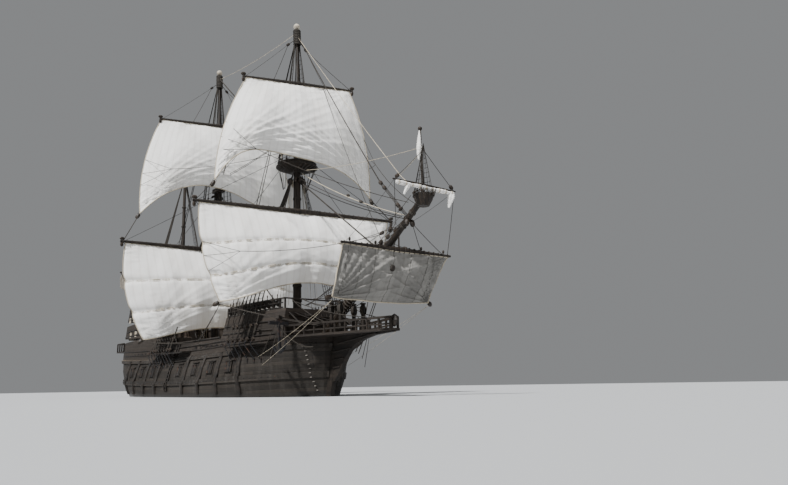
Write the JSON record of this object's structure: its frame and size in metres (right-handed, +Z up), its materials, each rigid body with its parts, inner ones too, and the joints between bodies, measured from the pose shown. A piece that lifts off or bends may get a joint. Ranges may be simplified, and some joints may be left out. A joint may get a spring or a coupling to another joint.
{
  "type": "galleon scale model",
  "caption": "Three-masted galleon under square sail at 1:10, with bracing yards, a lateen mizzen, spritsail, hanging rudder and hinged gunport lids.",
  "frame": {"origin": "on the centreline amidships, at the waterline", "axes": "+X towards the bow, +Y to port, +Z up"},
  "size_m": [5.082, 1.788, 3.555],
  "materials": {
    "tarred_wood": "dark tarred oak planks, matt",
    "oiled_wood": "oiled brown planks, matt",
    "spar_wood": "dark oiled spars, satin",
    "canvas": "off-white heavy canvas in sewn cloths, matt",
    "worn_canvas": "grey weathered canvas, matt",
    "tarred_rope": "tarred rope, matt",
    "iron": "black painted iron, dull",
    "lantern_metal": "aged brass, dull",
    "flag_cloth": "faded plain cloth, matt"
  },
  "bodies": {
    "ship": {"hull": "tarred_wood", "keel": "tarred_wood", "head_knee": "tarred_wood", "half_deck": "oiled_wood", "quarter_deck": "oiled_wood", "poop_deck": "oiled_wood", "forecastle": "oiled_wood", "forecastle_rail": "oiled_wood", "beakhead": "tarred_wood", "waist_bulwark_stbd": "oiled_wood", "waist_bulwark_port": "oiled_wood", "fore_channel_stbd": "tarred_wood", "fore_channel_port": "tarred_wood", "main_channel_stbd": "tarred_wood", "main_channel_port": "tarred_wood", "stern_gallery": "tarred_wood", "foremast": "spar_wood", "fore_top": "spar_wood", "fore_topmast": "spar_wood", "mainmast": "spar_wood", "main_top": "spar_wood", "main_topmast": "spar_wood", "mizzenmast": "spar_wood", "bowsprit": "spar_wood", "sprit_topmast": "spar_wood", "forestay": "tarred_rope", "mainstay": "tarred_rope", "anchor_stbd": "iron", "anchor_port": "iron", "stern_lantern": "lantern_metal", "ensign": "flag_cloth"},
    "fore_brace": {"fore_yard": "spar_wood", "fore_course": "canvas"},
    "fore_topsail_brace": {"fore_topsail_yard": "spar_wood", "fore_topsail": "canvas"},
    "main_brace": {"main_yard": "spar_wood", "main_course": "canvas"},
    "main_topsail_brace": {"main_topsail_yard": "spar_wood", "main_topsail": "canvas"},
    "spritsail_brace": {"spritsail_yard": "spar_wood", "spritsail": "worn_canvas"},
    "sprit_topsail_brace": {"sprit_topsail_yard": "spar_wood", "sprit_topsail": "worn_canvas"},
    "mizzen_swing": {"mizzen_yard": "spar_wood", "mizzen_sail": "canvas"},
    "rudder": {"rudder": "tarred_wood"},
    "gunport_lid_stbd_1": {"gunport_lid_stbd_1": "tarred_wood"},
    "gunport_lid_stbd_2": {"gunport_lid_stbd_2": "tarred_wood"},
    "gunport_lid_stbd_3": {"gunport_lid_stbd_3": "tarred_wood"},
    "gunport_lid_stbd_4": {"gunport_lid_stbd_4": "tarred_wood"},
    "gunport_lid_stbd_5": {"gunport_lid_stbd_5": "tarred_wood"},
    "gunport_lid_stbd_6": {"gunport_lid_stbd_6": "tarred_wood"},
    "gunport_lid_stbd_7": {"gunport_lid_stbd_7": "tarred_wood"},
    "gunport_lid_port_1": {"gunport_lid_port_1": "tarred_wood"},
    "gunport_lid_port_2": {"gunport_lid_port_2": "tarred_wood"},
    "gunport_lid_port_3": {"gunport_lid_port_3": "tarred_wood"},
    "gunport_lid_port_4": {"gunport_lid_port_4": "tarred_wood"},
    "gunport_lid_port_5": {"gunport_lid_port_5": "tarred_wood"},
    "gunport_lid_port_6": {"gunport_lid_port_6": "tarred_wood"},
    "gunport_lid_port_7": {"gunport_lid_port_7": "tarred_wood"}
  },
  "joints": [
    {"name": "fore_brace_turn", "type": "hinge", "parent": "ship", "child": "fore_brace", "pos_m": [1.224, 0, 1.42], "axis": [-0.0255, 0, 0.9997], "range_deg": [-22, 42]},
    {"name": "fore_topsail_turn", "type": "hinge", "parent": "ship", "child": "fore_topsail_brace", "pos_m": [1.2179, 0, 2.505], "axis": [-0.0654, 0, 0.9979], "range_deg": [-22, 42]},
    {"name": "main_brace_turn", "type": "hinge", "parent": "ship", "child": "main_brace", "pos_m": [-0.25312, 0, 1.341], "axis": [-0.0405, 0, 0.9992], "range_deg": [-28, 35]},
    {"name": "main_topsail_turn", "type": "hinge", "parent": "ship", "child": "main_topsail_brace", "pos_m": [-0.28102, 0, 2.599], "axis": [-0.0791, 0, 0.9969], "range_deg": [-28, 35]},
    {"name": "spritsail_turn", "type": "hinge", "parent": "ship", "child": "spritsail_brace", "pos_m": [2.493, 0, 0.922], "axis": [0, 0, 1], "range_deg": [-25, 25]},
    {"name": "sprit_topsail_turn", "type": "hinge", "parent": "ship", "child": "sprit_topsail_brace", "pos_m": [2.74046, 0, 1.285], "axis": [-0.0384, 0, 0.9993], "range_deg": [-30, 30]},
    {"name": "mizzen_turn", "type": "hinge", "parent": "ship", "child": "mizzen_swing", "pos_m": [-1.06917, 0, 1.2067], "axis": [-0.0349, 0, 0.9994], "range_deg": [-20, 20]},
    {"name": "rudder_turn", "type": "hinge", "parent": "ship", "child": "rudder", "pos_m": [-1.80267, 0, 0], "axis": [-0.0927, 0, 0.9957], "range_deg": [-35, 35]},
    {"name": "gunport_lid_stbd_1_hinge", "type": "hinge", "parent": "ship", "child": "gunport_lid_stbd_1", "pos_m": [-0.98994, -0.47662, 0.26305], "axis": [-0.9998, 0.0179, 0], "range_deg": [0, 95]},
    {"name": "gunport_lid_stbd_2_hinge", "type": "hinge", "parent": "ship", "child": "gunport_lid_stbd_2", "pos_m": [-0.72, -0.47784, 0.25702], "axis": [-1, 0, 0], "range_deg": [0, 95]},
    {"name": "gunport_lid_stbd_3_hinge", "type": "hinge", "parent": "ship", "child": "gunport_lid_stbd_3", "pos_m": [-0.44, -0.47784, 0.25252], "axis": [-1, 0, 0], "range_deg": [0, 95]},
    {"name": "gunport_lid_stbd_4_hinge", "type": "hinge", "parent": "ship", "child": "gunport_lid_stbd_4", "pos_m": [0.16, -0.47784, 0.25019], "axis": [-1, 0, 0], "range_deg": [0, 95]},
    {"name": "gunport_lid_stbd_5_hinge", "type": "hinge", "parent": "ship", "child": "gunport_lid_stbd_5", "pos_m": [0.47, -0.47784, 0.2529], "axis": [-1, 0, 0], "range_deg": [0, 95]},
    {"name": "gunport_lid_stbd_6_hinge", "type": "hinge", "parent": "ship", "child": "gunport_lid_stbd_6", "pos_m": [0.76992, -0.47666, 0.25787], "axis": [-0.9995, -0.0311, 0], "range_deg": [0, 95]},
    {"name": "gunport_lid_stbd_7_hinge", "type": "hinge", "parent": "ship", "child": "gunport_lid_stbd_7", "pos_m": [1.03017, -0.45356, 0.26442], "axis": [-0.9848, -0.1738, 0], "range_deg": [0, 95]},
    {"name": "gunport_lid_port_1_hinge", "type": "hinge", "parent": "ship", "child": "gunport_lid_port_1", "pos_m": [-0.98994, 0.47662, 0.26305], "axis": [0.9998, 0.0179, 0], "range_deg": [0, 95]},
    {"name": "gunport_lid_port_2_hinge", "type": "hinge", "parent": "ship", "child": "gunport_lid_port_2", "pos_m": [-0.72, 0.47784, 0.25702], "axis": [1, 0, 0], "range_deg": [0, 95]},
    {"name": "gunport_lid_port_3_hinge", "type": "hinge", "parent": "ship", "child": "gunport_lid_port_3", "pos_m": [-0.44, 0.47784, 0.25252], "axis": [1, 0, 0], "range_deg": [0, 95]},
    {"name": "gunport_lid_port_4_hinge", "type": "hinge", "parent": "ship", "child": "gunport_lid_port_4", "pos_m": [0.16, 0.47784, 0.25019], "axis": [1, 0, 0], "range_deg": [0, 95]},
    {"name": "gunport_lid_port_5_hinge", "type": "hinge", "parent": "ship", "child": "gunport_lid_port_5", "pos_m": [0.47, 0.47784, 0.2529], "axis": [1, 0, 0], "range_deg": [0, 95]},
    {"name": "gunport_lid_port_6_hinge", "type": "hinge", "parent": "ship", "child": "gunport_lid_port_6", "pos_m": [0.76992, 0.47666, 0.25787], "axis": [0.9995, -0.0311, 0], "range_deg": [0, 95]},
    {"name": "gunport_lid_port_7_hinge", "type": "hinge", "parent": "ship", "child": "gunport_lid_port_7", "pos_m": [1.03017, 0.45356, 0.26442], "axis": [0.9848, -0.1738, 0], "range_deg": [0, 95]}
  ],
  "couplings": [
    {"joint": "fore_topsail_turn", "follows": "fore_brace_turn", "ratio": 1},
    {"joint": "main_topsail_turn", "follows": "main_brace_turn", "ratio": 1}
  ]
}
